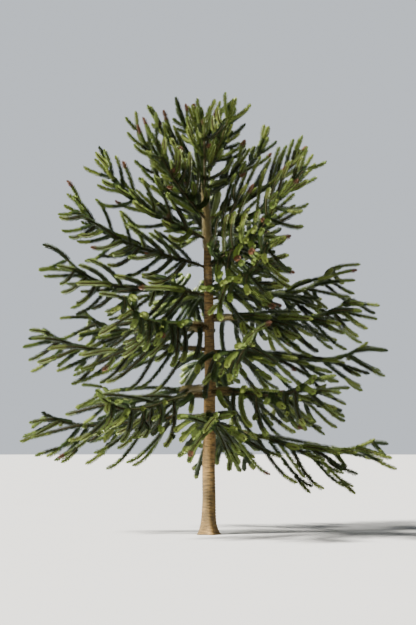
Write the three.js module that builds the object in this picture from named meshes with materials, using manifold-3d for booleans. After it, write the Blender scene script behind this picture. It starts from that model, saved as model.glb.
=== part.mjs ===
// A young monkey puzzle tree as separate solids: the trunk, the bare inner boughs of
// the lower whorls, and one mass of leaf-clad shoots for each limb.
// Units are millimetres and +Z is up. The origin is the middle of the flat cut under
// the trunk, at ground level, and the tree's front faces -Y.
import * as THREE from "three";
import { mergeVertices } from "three/addons/utils/BufferGeometryUtils.js";
import Module from "manifold-3d";

// Whole tree
const TOP_TIP_HEIGHT = 6750;
const LEADER_HEIGHT = 6520;

// Trunk
const TRUNK_TOP = 6200;
const TRUNK_FOOT_RADIUS = 104;
const TRUNK_TOP_RADIUS = 27;
const TRUNK_TAPER_POWER = 1.5;
const TRUNK_SIDES = 10;
const FLARE_RADIUS = 78;
const FLARE_HEIGHT = 120;
const FLARE_LOBES = 5;
const FLARE_LOBE_DEPTH = 0.3;
const FLARE_RINGS = [0, 45, 110, 230, 480];
const BOW = 40;
const LEAN = 80;
const COLLAR_SWELL = 0.09;
const COLLAR_HALF_HEIGHT = 70;

// Whorls of limbs, from the lowest up
const LOWEST_WHORL = 1700;
const FIRST_WHORL_GAP = 540;
const WHORL_GAP_SHRINK = 28.2;
const WHORL_COUNT = 12;
const BOUGH_WHORLS = 4;
const LOW_WHORLS = 5;
const LOW_LIMBS = 4;
const HIGH_LIMBS = 3;
const LOW_START = 174;
const LOW_TURN = 52;
const HIGH_START = 186;
const HIGH_TURN = 30;
const TURN_JITTER = 9;
const HEIGHT_JITTER = 160;

// Limbs: where their tips lie and how they rise
const WIDEST_HEIGHT = 2200;
const DOME_HEIGHT = 6100;
const DOME_POWER = 2;
const LIMB_REACH = 2660;
const LEAST_REACH = 270;
const REACH_JITTER = 0.07;
const TIP_RISE = [50, 1080];
const RISE_JITTER = 180;
const FULL_RISE_CLIMB = 0.66;
const RISE_POWER = 1.6;
const BASE_ELEVATION = [8, 45];
const TIP_ELEVATION = [34, 74];
const HANDLE_SHARE = 0.35;
const SIDE_BEND = 8;
const BOUGH_SHARE = 0.22;
const BOUGH_RADII = [36, 25];
const BOUGH_SIDES = 6;
const BOUGH_RINGS = 4;

// Leaf-clad shoots
const CORE_RADIUS = 29;
const LEAF_REACH = 66;
const LEAF_POINTS = 3;
const TIER_LENGTH = 450;
const FEWEST_TIERS = 2;
const LEAF_TIP_SHARE = 0.84;
const BUD_SHARE = 0.62;
const CORE_TAPER = 0.35;
const LEAF_TAPER = 0.22;
const ROOT_SHARE = 0.4;
const HALF_STEP = 0.5 / LEAF_POINTS;

// Side shoots of a limb, where three values are for the lowest, middle and top limbs
const SHOOT_GAP = 370;
const FEWEST_PAIRS = 2;
const FIRST_SHOOT = 0.16;
const SHOOT_LENGTH = [1400, 1200, 640];
const SHOOT_SHORTENING = 0.5;
const SHORTEST_SHOOT = 330;
const SHOOT_SPREAD_START = [48, 56, 72];
const SHOOT_SPREAD_END = 10;
const SHOOT_START_ELEVATION = [-20, 0, 40];
const SHOOT_MID_ELEVATION = [-40, -6, 46];
const SHOOT_END_ELEVATION = [-8, 34, 66];
const SHOOT_PITCH_SWING = [11, 34, 20];
const HANGING_CLIMB = 0.36;
const RISING_CLIMB = 0.78;
const OUTER_LIFT = 18;
const LEVEL_SHARE = 0.6;
const SHOOT_PARTS = [0.3, 0.45, 0.25];
const MIDDLE_SWEEP = 0.6;
const SHOOT_JITTER = 10;
const SHOOT_ROOM = 40;
const ROOTED_LENGTH = 165;

const CLEARANCE = 6;
const FIT_GAP = 0.3;
const TRUNK_ROOM = 0.36;
const MERGE_DISTANCE = 1e-3;
const TOP_UNEVENNESS = 220;
const SAMPLE_STEP = 35;
const UP = new THREE.Vector3(0, 0, 1);

const BARK = new THREE.MeshStandardMaterial({ color: 0x9a8460, roughness: 0.9, metalness: 0 });
const BOUGH = new THREE.MeshStandardMaterial({ color: 0x6f6a3c, roughness: 0.85, metalness: 0 });
const FOLIAGE = new THREE.MeshStandardMaterial({ color: 0x3d5a26, roughness: 0.55, metalness: 0 });

const wasm = await Module();
wasm.setup();

const radians = THREE.MathUtils.degToRad;
const lerp = THREE.MathUtils.lerp;

// A repeatable stream of numbers from -1 to 1
function seeded(seed) {
  let state = (seed * 7919 + 12345) >>> 0;
  const next = () => {
    state = (Math.imul(state, 1664525) + 1013904223) >>> 0;
    return state / 2147483648 - 1;
  };
  next();
  next();
  return next;
}

// The unit vector of a compass direction and an elevation, both in degrees
function heading(azimuth, elevation) {
  const a = radians(azimuth);
  const e = radians(elevation);
  return new THREE.Vector3(Math.cos(a) * Math.cos(e), Math.sin(a) * Math.cos(e), Math.sin(e));
}

// A value that goes from the first number, through the middle one, to the last
function through([low, middle, high], share) {
  return share < 0.5 ? lerp(low, middle, share * 2) : lerp(middle, high, share * 2 - 1);
}

// The trunk: its centreline bows a little to the right, then leans left at the top
function trunkCentre(height) {
  const up = height / TRUNK_TOP;
  return new THREE.Vector3(BOW * Math.sin(Math.PI * up) - LEAN * up * up, 0, height);
}

function whorlHeight(whorl) {
  return LOWEST_WHORL + FIRST_WHORL_GAP * whorl - (WHORL_GAP_SHRINK * whorl * (whorl - 1)) / 2;
}

const WHORL_HEIGHTS = Array.from({ length: WHORL_COUNT }, (_, whorl) => whorlHeight(whorl));
const TOP_WHORL = WHORL_HEIGHTS[WHORL_COUNT - 1];

function trunkRadius(height, angle) {
  const up = height / TRUNK_TOP;
  const stem = lerp(TRUNK_FOOT_RADIUS, TRUNK_TOP_RADIUS, up ** TRUNK_TAPER_POWER);
  const collar = WHORL_HEIGHTS.reduce(
    (swell, whorl) => swell + Math.exp(-(((height - whorl) / COLLAR_HALF_HEIGHT) ** 2)),
    0,
  );
  const lobes = 1 + FLARE_LOBE_DEPTH * Math.cos(FLARE_LOBES * angle);
  return stem * (1 + COLLAR_SWELL * collar) + FLARE_RADIUS * lobes * Math.exp(-height / FLARE_HEIGHT);
}

// A closed solid from rings of equal count, with a flat cap or a point at its far end
function solidFromRings(rings, tip) {
  const sides = rings[0].length;
  const positions = rings.flat().flatMap((p) => p.toArray());
  const triangles = [];
  const at = (ring, side) => ring * sides + (side % sides);
  for (let ring = 0; ring + 1 < rings.length; ring++) {
    for (let side = 0; side < sides; side++) {
      triangles.push(at(ring, side), at(ring, side + 1), at(ring + 1, side));
      triangles.push(at(ring, side + 1), at(ring + 1, side + 1), at(ring + 1, side));
    }
  }
  for (let side = 1; side + 1 < sides; side++) {
    triangles.push(0, side + 1, side);
  }
  const last = rings.length - 1;
  if (tip) {
    positions.push(...tip.toArray());
    for (let side = 0; side < sides; side++) {
      triangles.push(at(last, side), at(last, side + 1), rings.length * sides);
    }
  } else {
    for (let side = 1; side + 1 < sides; side++) {
      triangles.push(at(last, 0), at(last, side), at(last, side + 1));
    }
  }
  return new wasm.Manifold(
    new wasm.Mesh({
      numProp: 3,
      vertProperties: new Float32Array(positions),
      triVerts: new Uint32Array(triangles),
    }),
  );
}

// A solid's vertices and triangles
function geometryOf(solid) {
  const { numProp, vertProperties, triVerts } = solid.getMesh();
  const vertices = new Float32Array((vertProperties.length / numProp) * 3);
  for (let i = 0; i < vertices.length / 3; i++) {
    vertices.set(vertProperties.subarray(i * numProp, i * numProp + 3), i * 3);
  }
  const geometry = new THREE.BufferGeometry();
  geometry.setAttribute("position", new THREE.BufferAttribute(vertices, 3));
  geometry.setIndex(new THREE.BufferAttribute(triVerts, 1));
  return geometry;
}

// A ring of points round a curve, square to it, turned by a share of a full turn
function ringRound(curve, share, side, radius, sides, turn, shift = 0) {
  const tangent = curve.getTangentAt(share);
  const centre = curve.getPointAt(share).addScaledVector(tangent, shift);
  const across = side.clone().addScaledVector(tangent, -side.dot(tangent)).normalize();
  const over = tangent.clone().cross(across);
  return Array.from({ length: sides }, (_, i) => {
    const angle = 2 * Math.PI * (i / sides + turn);
    return centre
      .clone()
      .addScaledVector(across, radius * Math.cos(angle))
      .addScaledVector(over, radius * Math.sin(angle));
  });
}

// The trunk's solid, from the flat cut at the ground to its tip, or one a little fatter
function trunkSolid(extra = 0) {
  const heights = [...FLARE_RINGS];
  WHORL_HEIGHTS.forEach((whorl, i) => {
    const next = WHORL_HEIGHTS[i + 1] ?? TRUNK_TOP;
    heights.push(whorl, (whorl + next) / 2);
  });
  heights.push(TRUNK_TOP);
  const rings = heights.map((height) => {
    const centre = trunkCentre(height);
    return Array.from({ length: TRUNK_SIDES }, (_, i) => {
      const angle = (2 * Math.PI * i) / TRUNK_SIDES;
      const radius = trunkRadius(height, angle) + extra;
      return new THREE.Vector3(
        centre.x + radius * Math.cos(angle),
        centre.y + radius * Math.sin(angle),
        height,
      );
    });
  });
  return solidFromRings(rings);
}

// How far out and how far up a limb's tip lies from where it leaves the trunk
function limbReach(height) {
  const dome = Math.max(0, (height - WIDEST_HEIGHT) / (DOME_HEIGHT - WIDEST_HEIGHT));
  return lerp(LIMB_REACH, LEAST_REACH, dome ** DOME_POWER);
}

function limbRise(height, climb, extra) {
  const share = Math.min(1, climb / FULL_RISE_CLIMB) ** RISE_POWER;
  return Math.min(lerp(...TIP_RISE, share) + extra, TOP_TIP_HEIGHT - height);
}

// Every limb, whorl by whorl: its line from the trunk's middle to its tip, and its part
// that is a bare bough
function makeLimbs() {
  const limbs = [];
  WHORL_HEIGHTS.forEach((middle, whorl) => {
    const low = whorl < LOW_WHORLS;
    const count = low ? LOW_LIMBS : HIGH_LIMBS;
    const turn = low ? LOW_START + LOW_TURN * whorl : HIGH_START + HIGH_TURN * (whorl - LOW_WHORLS);
    const climb = (middle - LOWEST_WHORL) / (TOP_WHORL - LOWEST_WHORL);
    for (let place = 0; place < count; place++) {
      const random = seeded(whorl * 10 + place + 1);
      const azimuth = turn + (360 * place) / count + TURN_JITTER * random();
      const height = middle + HEIGHT_JITTER * (1 - climb) * random();
      const rise = limbRise(height, climb, RISE_JITTER * (1 - climb) * random());
      const reach = limbReach(height) * (1 - REACH_JITTER * (1 + random()) * 0.5);
      const start = trunkCentre(height);
      const tip = start
        .clone()
        .addScaledVector(heading(azimuth, 0), reach)
        .addScaledVector(UP, rise);
      const handle = start.distanceTo(tip) * HANDLE_SHARE;
      const bend = SIDE_BEND * random();
      const leaving = heading(azimuth + bend, lerp(...BASE_ELEVATION, climb * climb));
      const arriving = heading(azimuth - bend, lerp(...TIP_ELEVATION, climb));
      const curve = new THREE.CubicBezierCurve3(
        start,
        start.clone().addScaledVector(leaving, handle),
        tip.clone().addScaledVector(arriving, -handle),
        tip,
      );
      const length = curve.getLength();
      const from = whorl < BOUGH_WHORLS ? BOUGH_SHARE : 0;
      limbs.push({
        name: `${whorl + 1}_${"abcd"[place]}`,
        azimuth,
        climb,
        posture: THREE.MathUtils.smoothstep(climb, HANGING_CLIMB, RISING_CLIMB),
        curve,
        side: heading(azimuth + 90, 0),
        length,
        from,
        tiers: Math.max(FEWEST_PAIRS + 1, Math.round((length * (1 - from)) / SHOOT_GAP)),
        random,
      });
    }
  });
  return limbs;
}

// A tapering bare bough, from inside the trunk to where its foliage starts
function boughSolid(limb) {
  const rings = Array.from({ length: BOUGH_RINGS }, (_, i) => {
    const along = i / (BOUGH_RINGS - 1);
    const shift = i === BOUGH_RINGS - 1 ? -FIT_GAP / 2 : 0;
    const radius = lerp(...BOUGH_RADII, along);
    return ringRound(limb.curve, along * limb.from, limb.side, radius, BOUGH_SIDES, 0, shift);
  });
  return solidFromRings(rings);
}

// A shoot clad in leaves: each tier has a slim neck and three leaf points that stand out
// and forward, and its points lie between those of the tier before
function shootSolid({ curve, side, from, to, tiers, rootRadius, shift }) {
  const rings = [];
  for (let tier = 0; tier < tiers; tier++) {
    const turn = tier * HALF_STEP;
    const share = (part) => lerp(from, to, (tier + part) / tiers);
    const along = tier / tiers;
    const neck = tier === 0 ? rootRadius : CORE_RADIUS * (1 - CORE_TAPER * along);
    const leaf = LEAF_REACH * (1 - LEAF_TAPER * along);
    const tipShare = tier === tiers - 1 ? BUD_SHARE : LEAF_TIP_SHARE;
    const slide = tier === 0 ? shift : 0;
    rings.push(ringRound(curve, share(0), side, neck, LEAF_POINTS, turn, slide));
    rings.push(ringRound(curve, share(tipShare), side, leaf, LEAF_POINTS, turn + HALF_STEP));
  }
  return solidFromRings(rings, curve.getPointAt(to));
}

// Points along a stretch of a curve, with the radius that has to stay free round them
function spaceAlong(owner, curve, from, to, length, radius) {
  const steps = Math.max(2, Math.ceil(length / SAMPLE_STEP));
  return Array.from({ length: steps + 1 }, (_, i) => ({
    owner,
    radius,
    point: curve.getPointAt(lerp(from, to, i / steps)),
  }));
}

// The share of a new shoot that stays clear of everything already placed
function freeShare(limb, curve, length, siblings, taken) {
  const path = spaceAlong(limb, curve, 0, 1, length, SHOOT_ROOM);
  const ceiling = TOP_TIP_HEIGHT - TOP_UNEVENNESS * Math.abs(limb.random());
  for (let i = 0; i < path.length; i++) {
    const spot = path[i];
    const clear = ({ point, radius }) => point.distanceTo(spot.point) > radius + SHOOT_ROOM + CLEARANCE;
    const away = taken.every((t) => t.owner === limb || clear(t));
    const apart = i * SAMPLE_STEP < ROOTED_LENGTH || siblings.every(clear);
    const low = spot.point.z < ceiling;
    if (!away || !apart || !low) return Math.max(0, i - 1) / (path.length - 1);
  }
  return 1;
}

// The line of one side shoot: out sideways, along with the limb, then up at its tip
function shootCurve(limb, share, hand, swing, length) {
  const { curve, azimuth, posture, random } = limb;
  const spread = through(SHOOT_SPREAD_START, posture) + SHOOT_JITTER * random();
  const sweep = (part) => azimuth + hand * lerp(spread, SHOOT_SPREAD_END, part);
  const turned = swing * through(SHOOT_PITCH_SWING, posture) + SHOOT_JITTER * random();
  const pitch = turned + OUTER_LIFT * (share - LEVEL_SHARE);
  const [near, middle, far] = SHOOT_PARTS.map((part) => part * length);
  const leaving = through(SHOOT_START_ELEVATION, posture) + pitch;
  const going = through(SHOOT_MID_ELEVATION, posture) + pitch;
  const ending = through(SHOOT_END_ELEVATION, posture);
  const root = curve.getPointAt(share);
  const first = root.clone().addScaledVector(heading(sweep(0), leaving), near);
  const second = first.clone().addScaledVector(heading(sweep(MIDDLE_SWEEP), going), middle);
  const tip = second.clone().addScaledVector(heading(sweep(1), ending), far);
  return {
    line: new THREE.CubicBezierCurve3(root, first, second, tip),
    side: heading(sweep(MIDDLE_SWEEP) + 90, 0),
  };
}

// The side shoots of one limb, in pairs, each cut short or left out where it has no room
function sideShoots(limb, taken) {
  const shoots = [];
  const siblings = [];
  for (let pair = 1; pair < limb.tiers; pair++) {
    const share = lerp(limb.from, 1, pair / limb.tiers);
    if (share < FIRST_SHOOT) continue;
    for (const hand of [1, -1]) {
      const swing = (pair % 2 ? -1 : 1) * hand;
      const wanted = through(SHOOT_LENGTH, limb.climb) * (1 - SHOOT_SHORTENING * share);
      const { line, side } = shootCurve(limb, share, hand, swing, wanted);
      const full = line.getLength();
      const free = freeShare(limb, line, full, siblings, taken);
      if (free * full < SHORTEST_SHOOT) continue;
      shoots.push({
        curve: line,
        side,
        from: 0,
        to: free,
        tiers: Math.max(FEWEST_TIERS, Math.round((full * free) / TIER_LENGTH)),
        rootRadius: CORE_RADIUS * ROOT_SHARE,
        shift: 0,
      });
      siblings.push(...spaceAlong(limb, line, 0, free, full * free, SHOOT_ROOM));
    }
  }
  taken.push(...siblings);
  return shoots;
}

// The largest body of a solid once its near vertices are merged, without the scraps
// that a cut can leave
function largestBody(solid) {
  const merged = mergeVertices(geometryOf(solid), MERGE_DISTANCE);
  const bodies = new wasm.Manifold(
    new wasm.Mesh({
      numProp: 3,
      vertProperties: merged.getAttribute("position").array,
      triVerts: new Uint32Array(merged.index.array),
    }),
  ).decompose();
  return bodies.reduce((most, body) => (body.volume() > most.volume() ? body : most));
}

// The leaf-clad line of a limb, from its bough's end or the trunk's middle to its tip
function stemSolid(limb) {
  return shootSolid({
    curve: limb.curve,
    side: limb.side,
    from: limb.from,
    to: 1,
    tiers: limb.tiers,
    rootRadius: limb.from ? CORE_RADIUS : CORE_RADIUS * ROOT_SHARE,
    shift: limb.from ? FIT_GAP / 2 : 0,
  });
}

// One limb's mass: its stem and side shoots, joined, and cut clear of the trunk. A shoot
// whose leaves would touch another limb is left out
function massSolid(stem, shoots, others, trunkRoom) {
  const clear = shoots
    .map(shootSolid)
    .filter((solid) => others.every((other) => solid.minGap(other, CLEARANCE) >= CLEARANCE));
  return largestBody(wasm.Manifold.union([stem, ...clear]).subtract(trunkRoom));
}

// The upright leading shoot on the trunk's tip
function leaderSolid() {
  const foot = trunkCentre(TRUNK_TOP);
  const tip = new THREE.Vector3(foot.x, foot.y, LEADER_HEIGHT);
  const shoot = {
    curve: new THREE.LineCurve3(foot, tip),
    side: new THREE.Vector3(1, 0, 0),
    from: 0,
    to: 1,
    tiers: FEWEST_TIERS,
    rootRadius: CORE_RADIUS,
    shift: FIT_GAP,
  };
  return shootSolid(shoot);
}

// A named mesh of a finished solid
function meshOf(name, solid, material) {
  const geometry = geometryOf(solid);
  geometry.computeVertexNormals();
  const mesh = new THREE.Mesh(geometry, material);
  mesh.name = name;
  return mesh;
}

function makeTree() {
  const tree = new THREE.Group();
  const limbs = makeLimbs();
  const trunkRoom = trunkSolid(TRUNK_ROOM);
  const leader = leaderSolid();
  tree.add(meshOf("trunk", trunkSolid(), BARK));
  tree.add(meshOf("leader", leader, FOLIAGE));
  const taken = limbs.flatMap((limb) => spaceAlong(limb, limb.curve, 0, 1, limb.length, SHOOT_ROOM));
  for (let height = 0; height < LEADER_HEIGHT; height += SAMPLE_STEP) {
    const radius = height < TRUNK_TOP ? trunkRadius(height, 0) : LEAF_REACH;
    taken.push({ owner: tree, radius, point: trunkCentre(height) });
  }
  const boughs = new Map();
  for (const limb of limbs.filter(({ from }) => from > 0)) {
    boughs.set(limb, largestBody(boughSolid(limb).subtract(trunkRoom)));
    tree.add(meshOf(`bough_${limb.name}`, boughs.get(limb), BOUGH));
  }
  const masses = new Map(limbs.map((limb) => [limb, stemSolid(limb)]));
  for (const limb of limbs) {
    const others = [leader, ...boughs.values()];
    masses.forEach((solid, owner) => owner !== limb && others.push(solid));
    const mass = massSolid(masses.get(limb), sideShoots(limb, taken), others, trunkRoom);
    masses.set(limb, mass);
    tree.add(meshOf(`foliage_${limb.name}`, mass, FOLIAGE));
  }
  return tree;
}

export default makeTree();
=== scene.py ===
"""A young monkey puzzle tree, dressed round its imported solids.

The crown grows by the rule that made the solids, in metres, and is carried on to finer
shoots. Bark with relief covers the trunk and boughs, and keeled leaves clad every shoot.
"""

import math
from functools import lru_cache

import bpy
import numpy as np
from bpy.props import FloatProperty, FloatVectorProperty, IntProperty, PointerProperty
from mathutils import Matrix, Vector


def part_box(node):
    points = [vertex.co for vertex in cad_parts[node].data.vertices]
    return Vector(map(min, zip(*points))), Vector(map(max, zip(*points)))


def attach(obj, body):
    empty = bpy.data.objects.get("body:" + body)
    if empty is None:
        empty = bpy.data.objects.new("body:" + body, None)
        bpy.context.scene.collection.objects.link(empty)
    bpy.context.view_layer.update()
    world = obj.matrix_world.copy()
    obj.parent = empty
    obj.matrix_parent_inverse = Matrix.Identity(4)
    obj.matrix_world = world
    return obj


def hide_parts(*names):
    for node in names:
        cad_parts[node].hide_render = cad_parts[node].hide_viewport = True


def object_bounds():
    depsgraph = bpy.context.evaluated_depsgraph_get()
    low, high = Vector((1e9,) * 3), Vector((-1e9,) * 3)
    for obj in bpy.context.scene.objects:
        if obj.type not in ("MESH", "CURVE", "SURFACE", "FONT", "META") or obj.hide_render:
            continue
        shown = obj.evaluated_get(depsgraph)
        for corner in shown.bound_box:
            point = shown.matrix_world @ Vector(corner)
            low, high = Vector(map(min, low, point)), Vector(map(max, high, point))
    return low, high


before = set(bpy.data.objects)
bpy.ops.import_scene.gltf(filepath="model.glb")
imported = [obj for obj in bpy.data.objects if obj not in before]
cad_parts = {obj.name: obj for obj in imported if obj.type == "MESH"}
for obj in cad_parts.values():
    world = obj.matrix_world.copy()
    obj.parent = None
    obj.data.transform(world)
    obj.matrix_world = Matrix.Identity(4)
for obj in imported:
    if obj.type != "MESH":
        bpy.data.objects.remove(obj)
CAD_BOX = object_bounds()

bl_info = {
    "name": "Monkey Puzzle Tree",
    "version": (1, 0, 0),
    "blender": (4, 5, 0),
    "location": "View3D > Sidebar > Monkey Puzzle",
    "description": "Grows the bark and the leafy shoots of a young monkey puzzle tree",
    "category": "Object",
}

# Whole tree: the heights of the trunk and of its leader are the solids' own
TRUNK_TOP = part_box("trunk")[1].z
LEADER_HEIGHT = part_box("leader")[1].z
TOP_TIP_HEIGHT = 6.75

# Trunk
TRUNK_FOOT_RADIUS = 0.104
TRUNK_TOP_RADIUS = 0.027
TRUNK_TAPER_POWER = 1.5
FLARE_RADIUS = 0.078
FLARE_HEIGHT = 0.12
FLARE_LOBES = 5
FLARE_LOBE_DEPTH = 0.3
BOW = 0.04
LEAN = 0.08
COLLAR_SWELL = 0.09
COLLAR_HALF_HEIGHT = 0.07

# Whorls of limbs, from the lowest up, with angles in degrees here and below
LOWEST_WHORL = 1.7
FIRST_WHORL_GAP = 0.54
WHORL_GAP_SHRINK = 0.0282
WHORL_COUNT = 12
BOUGH_WHORLS = 4
LOW_WHORLS = 5
LOW_LIMBS = 4
HIGH_LIMBS = 3
LOW_START = 174
LOW_TURN = 52
HIGH_START = 186
HIGH_TURN = 30
TURN_JITTER = 9
HEIGHT_JITTER = 0.16
SEEDS_PER_WHORL = 10

# Limbs: where their tips lie and how they rise
WIDEST_HEIGHT = 2.2
DOME_HEIGHT = 6.1
DOME_POWER = 2
LIMB_REACH = 2.66
LEAST_REACH = 0.27
REACH_JITTER = 0.07
TIP_RISE = (0.05, 1.08)
RISE_JITTER = 0.18
FULL_RISE_CLIMB = 0.66
RISE_POWER = 1.6
BASE_ELEVATION = (8, 45)
TIP_ELEVATION = (34, 74)
HANDLE_SHARE = 0.35
SIDE_BEND = 8
BOUGH_SHARE = 0.22
BOUGH_RADII = (0.036, 0.025)

# Side shoots of a limb, where three values are for the lowest, middle and top limbs
SHOOT_GAP = 0.37
FEWEST_PAIRS = 2
FIRST_SHOOT = 0.16
SHOOT_LENGTH = (1.4, 1.2, 0.64)
SHOOT_SHORTENING = 0.5
SHORTEST_SHOOT = 0.33
SHOOT_SPREAD_START = (48, 56, 72)
SHOOT_SPREAD_END = 10
SHOOT_START_ELEVATION = (-20, 0, 40)
SHOOT_MID_ELEVATION = (-40, -6, 46)
SHOOT_END_ELEVATION = (-8, 34, 66)
SHOOT_PITCH_SWING = (11, 34, 20)
HANGING_CLIMB = 0.36
RISING_CLIMB = 0.78
OUTER_LIFT = 18
LEVEL_SHARE = 0.6
SHOOT_PARTS = (0.3, 0.45, 0.25)
MIDDLE_SWEEP = 0.6
SHOOT_JITTER = 10

# Room that the growth keeps free, and the step between the points that are tested for it
SHOOT_ROOM = 0.04
LEADER_ROOM = 0.066
ROOTED_LENGTH = 0.165
CLEARANCE = 0.006
TOP_UNEVENNESS = 0.22
SAMPLE_STEP = 0.035

# Finer shoots between the solids' own: infill pairs on the limbs, branchlets on long shoots
INFILL_FROM = 0.1
INFILL_LENGTH = 0.92
INFILL_DENSITY = (1.4, 2.5, 1.2)
INFILL_LIFT = (2.6, 1.5, 1.25)
INFILL_DROP = (-1, -0.4, -0.7)
SWING_UNEVENNESS = 0.4
INFILL_SHIFT = 0.45
INFILL_UNEVENNESS = 0.18
INFILL_SEED = 500
FINE_ROOM = 0.038
FINE_MARGIN = 0.14
BOX_MARGIN = 0.03
BRANCHLET_SHARES = (0.42, 0.68)
BRANCHLET_SHIFT = 0.06
BRANCHLET_LENGTH = 0.36
BRANCHLET_UNEVENNESS = 0.3
BRANCHLET_SPREAD = 38
BRANCHLET_ROLL = 35
BRANCHLET_SEED = 900
PARENT_LENGTH = 0.75
SHORTEST_BRANCHLET = 0.13

# Wood of the shoots, as radii at the root and the tip, and how they are sampled
LIMB_WOOD = (0.025, 0.015)
SHOOT_WOOD = (0.016, 0.014)
FINE_WOOD = (0.014, 0.0125)
LEADER_WOOD = (0.024, 0.014)
LEADER_SUNK = 0.05
LEADER_SHORT = 0.02
BUD_WOOD_SHARE = 0.42
BUD_REACH = 0.04
BUD_STOPS = (1, 0.5)
LINE_STEP = 0.075
LENGTH_STEPS = 200
AHEAD_STEP = 0.01
LEAFLESS_ROOT = 0.03
TRUNK_MARGIN = 0.012

# Leaves and their tints
LEAF_WIDEST = 0.42
LEAF_SUNK = 0.06
TINTS = ("deep", "green", "fresh", "bronze")
TINT_SEED = 3000
NEW_GROWTH = 0.24
BRONZE_GROWTH = 0.13
GROWTH_UNEVENNESS = 0.4
MOST_GROWTH = 0.8
HIGH_SPRAYS_FROM = 6

# Tints of a shoot's older part and new growth, and the luck up to which each pair is dealt; the
# deep green of older parts is partly painted shade
TINT_PAIRS = (
    ("deep", "green"),
    ("deep", "fresh"),
    ("green", "fresh"),
    ("deep", "deep"),
    ("green", "bronze"),
)
SPRAY_LUCK = (0.5, 0.68, 0.84, 0.97, 1)
HIGH_SPRAY_LUCK = (0.4, 0.62, 0.8, 0.9, 1)

# Old leaves on the trunk, from a height up, and on the boughs, from a share of them out
OLD_LEAF_STRETCH = 1.15
OLD_TRUNK_FROM = 4.4
OLD_TRUNK_SPACING = 0.0016
OLD_TRUNK_LEAN = 38
OLD_TRUNK_POINTS = 80
OLD_BOUGH_FROM = 0.2
OLD_BOUGH_SPACING = 0.0028
OLD_BOUGH_LEAN = 44
OLD_BOUGH_POINTS = 20

# Bark and wood meshes
TRUNK_RING_SIDES = 56
BOUGH_RING_STEP = 0.025
BOUGH_RING_SIDES = 14
BOUGH_OVERLAP = 0.08
BOUGH_BARK_SHARE = 0.95
BOUGH_RELIEF = 0.6
# Bough bark is the trunk's bark colour darkened: painted shade of the crown over the boughs
BOUGH_PAINTED_SHADE = 0.29
SHOOT_WOOD_SIDES = 3

# Waves of the bark: times that they go round the trunk, and how fast they climb it
DRIFT_WAVES = ((2, 3.1), (5, -7.3))
DRIFT_SIZES = (0.9, 0.7)
RUN_WAVES = ((3, 11.7), (1, -5.9))
RUN_DEPTH = 0.4
SWELL_WAVES = ((2, 1.9), (1, 4.3))
SWELL_SIZE = 1.5
FINE_WRINKLES = (2.3, 1.4, 2)
FINE_SIZE = 0.5
SCAR_SPIRALS = (8, 5)
SCAR_RISE = 0.9

# Looks: noise by scale, detail and stretch, shades of a colour, and bumps by depth and strength
NOISE_RANGE = (0.3, 0.7)
LEAF_GLOSS = 0.45
LEAF_SPRAYS = (2.2, 2)
LEAF_FLECKS = (60, 2)
LEAF_GRAIN = (220, 3)
LEAF_SHADES = ((0.78, 0.8, 0.8), (1.25, 1.18, 1.1))
LEAF_ROUGHNESS = (0.36, 0.52)
LEAF_BUMP = (0.0006, 0.35)
BARK_GLOSS = 0.3
# Bark streaks and patches: partly the bark's own furrows and stains, partly painted shade in the
# furrows and painted dappled light and shade
BARK_FURROW_SHADE_STREAKS = (9, 6, (1, 1, 4.5))
BARK_STAIN_AND_DAPPLE_PATCHES = (2.4, 3)
BARK_GRAIN = (90, 5, (1, 1, 2.5))
BARK_STAIN_AND_DAPPLE_SHADES = ((0.34, 0.38, 0.4), (1.25, 1.25, 1.25))
BARK_ROUGHNESS = (0.75, 0.95)
BARK_BUMP = (0.002, 0.6)

# Stage
FLOOR_RADIUS = 90
FLOOR_SIDES = 96
FLOOR_DROP = 0.002
FLOOR_ROUGHNESS = 0.9
FLOOR_NOISE = (0.4, 2)
FLOOR_SHADE = 0.985
CLIP_END = 4 * FLOOR_RADIUS
KEY_WIDTH = 9
KEY_TURN = (50, 0, -66)
KEY_COLOUR = (1, 0.965, 0.91)
SKY_COLOUR = (0.86, 0.92, 1, 1)

# Bands of the crown, by their lowest and highest whorls
BANDS = {"low": (1, 2), "middle": (3, 5), "high": (6, 12)}

# The solids' stream of chances
SEED_STRIDE = 7919
SEED_START = 12345
STREAM_FACTOR = 1664525
STREAM_STEP = 1013904223
STREAM_WORD = 2**32

UP = np.array([0.0, 0.0, 1.0])


# Settings that a user may change

def length_setting(name, description, default, least=0):
    return FloatProperty(
        name=name, description=description, default=default, min=least, unit="LENGTH"
    )


def angle_setting(name, description, degrees):
    return FloatProperty(
        name=name, description=description, default=math.radians(degrees), subtype="ANGLE"
    )


def share_setting(name, description, default, least=0):
    return FloatProperty(
        name=name, description=description, default=default, min=least, max=1, subtype="FACTOR"
    )


def colour_setting(name, description, default):
    return FloatVectorProperty(
        name=name, description=description, default=default, min=0, max=1, subtype="COLOR"
    )


class LeafSettings(bpy.types.PropertyGroup):
    """Sizes and set of the leaves"""

    length: length_setting("Leaf length", "Length of a full-grown leaf on a shoot", 0.048, 0.005)
    width: length_setting("Leaf width", "Width of a leaf at its widest", 0.031, 0.002)
    thickness: length_setting(
        "Leaf thickness", "Depth of a leaf from its upper face to its keel", 0.0045, 0.0005
    )
    spacing: length_setting(
        "Leaf spacing", "Distance along a shoot from each leaf to the next", 0.0035, 0.0005
    )
    spiral: angle_setting("Spiral turn", "Turn round the shoot from each leaf to the next", 137.5)
    open_lean: angle_setting(
        "Open lean", "How far a full-grown leaf stands away from its shoot", 50
    )
    closed_lean: angle_setting(
        "Closed lean", "How far the leaves of a bud stand away from its tip", 14
    )
    bud_length: length_setting(
        "Bud length", "Length over which a shoot's tip closes to a bud", 0.045, 0.005
    )
    bud_size: share_setting(
        "Bud leaf size", "Size of the bud's leaves as a share of full-grown ones", 0.75, 0.1
    )
    size_chance: share_setting("Size chance", "How far leaves differ in size, as a share", 0.16)
    lean_chance: angle_setting("Lean chance", "How far leaves differ in lean", 9)
    seed: IntProperty(name="Seed", description="Fixed seed of the leaves' chances", default=7)


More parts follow.
